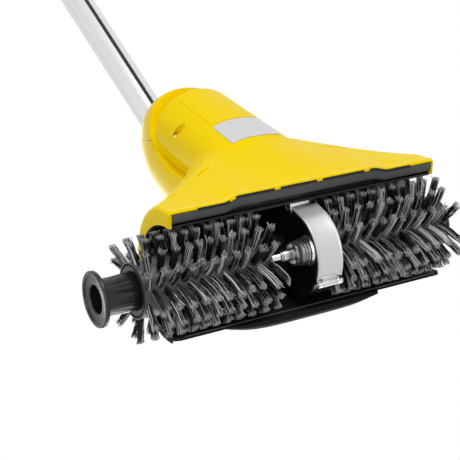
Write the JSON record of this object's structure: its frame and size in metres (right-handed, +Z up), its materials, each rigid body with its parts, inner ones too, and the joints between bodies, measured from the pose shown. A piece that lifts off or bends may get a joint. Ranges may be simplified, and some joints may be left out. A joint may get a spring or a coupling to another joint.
{
  "type": "electric patio cleaner",
  "caption": "Upright powered patio scrubber: roller brushes under a wide moulded hood, centre gear drive, motor neck, telescopic tube, loop and trigger handles; left brush drawn out.",
  "frame": {"origin": "Middle of the footprint of the bounding box, on the ground, where the bristle tips stand.", "axes": "+Z is up, +X runs along the brush axis towards the drawn-out left brush, +Y points to the user side that the tube leans to; the front bumper faces -Y."},
  "size_m": [0.3826, 0.7732, 1.0126],
  "materials": {
    "yellow_plastic": "smooth satin moulding",
    "black_plastic": "fine-grained moulding",
    "grey_plastic": "fine-grained moulding",
    "bristle_filament": "crimped nylon filament",
    "aluminium": "drawn, clear anodised",
    "steel": "turned and bright",
    "copper_winding": "wound and varnished",
    "plate_foil": "bare foil",
    "black_rubber": "smooth"
  },
  "bodies": {
    "head": {"hood_front_shell": "yellow_plastic", "hood_rear_shell": "yellow_plastic", "rating_plate": "plate_foil", "gear_case": "black_plastic", "band_hinge_pin": "steel", "band_keeper_clip": "steel", "brush_tunnel": "black_plastic", "front_splash_plate": "black_plastic", "motor_stator": "steel", "motor_cradle": "black_plastic", "lower_tube": "aluminium", "tube_socket": "black_plastic", "clamp_collar": "black_plastic", "clamp_pin": "steel"},
    "roller": {"drive_shaft": "steel", "left_drive_hub": "steel", "right_drive_hub": "steel"},
    "left_brush": {"left_brush_core": "grey_plastic", "left_bristles": "bristle_filament", "left_core_ring": "black_plastic"},
    "left_spool": {"left_spool_hub": "black_plastic"},
    "right_brush": {"right_brush_core": "grey_plastic", "right_bristles": "bristle_filament", "right_core_ring": "black_plastic"},
    "right_spool": {"right_spool_hub": "black_plastic"},
    "armature": {"motor_armature": "copper_winding"},
    "band": {"wear_band": "aluminium"},
    "telescope": {"upper_tube": "aluminium", "loop_collar": "black_plastic", "loop_pin_left": "steel", "loop_pin_right": "steel", "rear_handle": "black_plastic", "cable_gland": "black_rubber"},
    "clamp_lever": {"clamp_lever": "grey_plastic"},
    "loop": {"loop_handle": "black_plastic"},
    "knob": {"loop_knob": "black_plastic"},
    "trigger": {"trigger": "grey_plastic"},
    "lock_button": {"lock_button": "grey_plastic"}
  },
  "joints": [
    {"name": "roller_spin", "type": "hinge", "parent": "head", "child": "roller", "pos_m": [-0.03249, -0.32377, 0.04956], "axis": [1, 0, 0], "continuous": true},
    {"name": "left_brush_slide", "type": "slide", "parent": "roller", "child": "left_brush", "axis": [1, 0, 0], "range_m": [-0.033, 0.12]},
    {"name": "left_spool_pull", "type": "slide", "parent": "left_brush", "child": "left_spool", "axis": [1, 0, 0], "range_m": [-0.033, 0.1]},
    {"name": "right_brush_slide", "type": "slide", "parent": "roller", "child": "right_brush", "axis": [-1, 0, 0], "range_m": [0, 0.15]},
    {"name": "right_spool_pull", "type": "slide", "parent": "right_brush", "child": "right_spool", "axis": [-1, 0, 0], "range_m": [0, 0.1]},
    {"name": "armature_spin", "type": "hinge", "parent": "head", "child": "armature", "pos_m": [-0.03249, -0.23758, 0.1628], "axis": [0, 0.342, 0.9397], "continuous": true},
    {"name": "band_swing", "type": "hinge", "parent": "head", "child": "band", "pos_m": [-0.03249, -0.35159, 0.01394], "axis": [1, 0, 0], "range_deg": [-30, 0]},
    {"name": "tube_extend", "type": "slide", "parent": "head", "child": "telescope", "axis": [0, 0.6652, 0.7466], "range_m": [-0.1, 0.08]},
    {"name": "clamp_lever_swing", "type": "hinge", "parent": "head", "child": "clamp_lever", "pos_m": [-0.03249, 0.09715, 0.62455], "axis": [1, 0, 0], "range_deg": [0, 100]},
    {"name": "loop_tilt", "type": "hinge", "parent": "telescope", "child": "loop", "pos_m": [-0.03249, 0.17196, 0.75211], "axis": [1, 0, 0], "range_deg": [-30, 30]},
    {"name": "knob_turn", "type": "hinge", "parent": "telescope", "child": "knob", "pos_m": [0.01151, 0.17196, 0.75211], "axis": [1, 0, 0], "continuous": true},
    {"name": "trigger_pull", "type": "hinge", "parent": "telescope", "child": "trigger", "pos_m": [-0.03249, 0.27721, 0.93999], "axis": [1, 0, 0], "range_deg": [0, 7], "stiffness_Nm_per_rad": 0.4, "springref_deg": -5.73},
    {"name": "lock_press", "type": "slide", "parent": "telescope", "child": "lock_button", "axis": [0, 0.7466, -0.6652], "range_m": [0, 0.003], "stiffness_N_per_m": 300, "springref_m": -0.002}
  ],
  "couplings": [
    {"joint": "armature_spin", "follows": "roller_spin", "ratio": 16}
  ]
}
